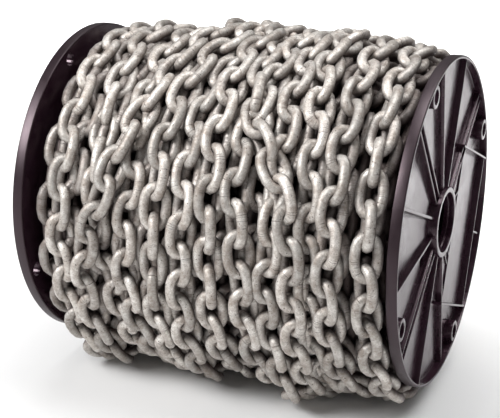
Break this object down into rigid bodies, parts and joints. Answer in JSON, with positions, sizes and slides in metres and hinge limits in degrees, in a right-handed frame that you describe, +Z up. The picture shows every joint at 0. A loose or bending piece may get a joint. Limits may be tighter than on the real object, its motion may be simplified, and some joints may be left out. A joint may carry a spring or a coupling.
{
  "type": "reel of steel chain",
  "caption": "Full reel of galvanised short-link steel chain on a black moulded plastic spool with ribbed flanges and a spindle bore.",
  "frame": {"origin": "on the floor under the middle of the reel, at the bottom centre of its box", "axes": "+X along the reel's axis, towards the flange whose ribbed face the picture shows; +Y to the back; +Z up"},
  "size_m": [0.3364, 0.3142, 0.3139],
  "materials": {
    "black_plastic": "black moulded plastic with a faint purple cast, satin",
    "galvanised_steel": "hot-dip galvanised, matte grey"
  },
  "bodies": {
    "root": {"flange_left": "black_plastic", "flange_right": "black_plastic", "barrel": "black_plastic", "chain_core": "galvanised_steel", "chain_turn_01": "galvanised_steel", "chain_turn_02": "galvanised_steel", "chain_turn_03": "galvanised_steel", "chain_turn_04": "galvanised_steel", "chain_turn_05": "galvanised_steel", "chain_turn_06": "galvanised_steel", "chain_turn_07": "galvanised_steel", "chain_turn_08": "galvanised_steel", "chain_turn_09": "galvanised_steel", "chain_turn_10": "galvanised_steel", "chain_turn_11": "galvanised_steel", "chain_turn_12": "galvanised_steel"}
  },
  "joints": []
}
